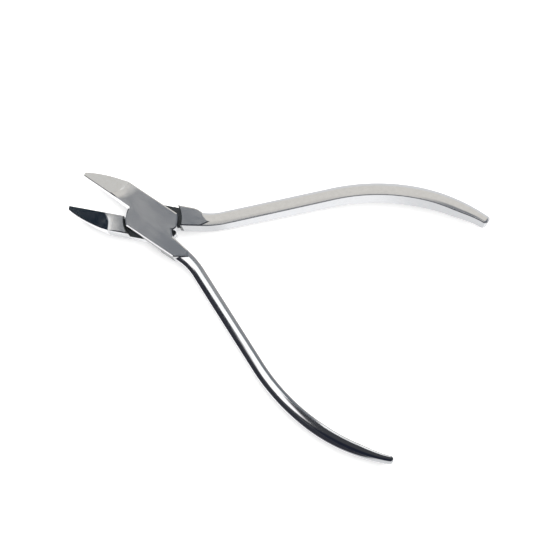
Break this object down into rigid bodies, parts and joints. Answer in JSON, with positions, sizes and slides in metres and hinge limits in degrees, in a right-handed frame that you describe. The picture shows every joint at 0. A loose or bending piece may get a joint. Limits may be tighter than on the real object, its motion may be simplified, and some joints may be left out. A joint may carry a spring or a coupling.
{
  "type": "crimping pliers",
  "caption": "Slim lap-joint pliers with tapered pointed jaws, bowed half-round handles and a pivot screw let in from the back.",
  "frame": {"origin": "on the pivot axis, on the flat front face of the joint", "axes": "+X halves the angle between the two levers and points from the pivot towards the handle tips, +Z points out of the front face"},
  "size_m": [0.1214, 0.0838, 0.009],
  "materials": {
    "lever_steel": "polished stainless steel with fine lengthwise polishing lines",
    "screw_steel": "turned stainless steel"
  },
  "bodies": {
    "front": {"front_lever": "lever_steel", "pivot_screw": "screw_steel"},
    "back": {"back_lever": "lever_steel"}
  },
  "joints": [
    {"name": "lap_pivot", "type": "hinge", "parent": "front", "child": "back", "pos_m": [0, 0, -0.0036], "axis": [0, 0, 1], "range_deg": [-23, 61]}
  ]
}
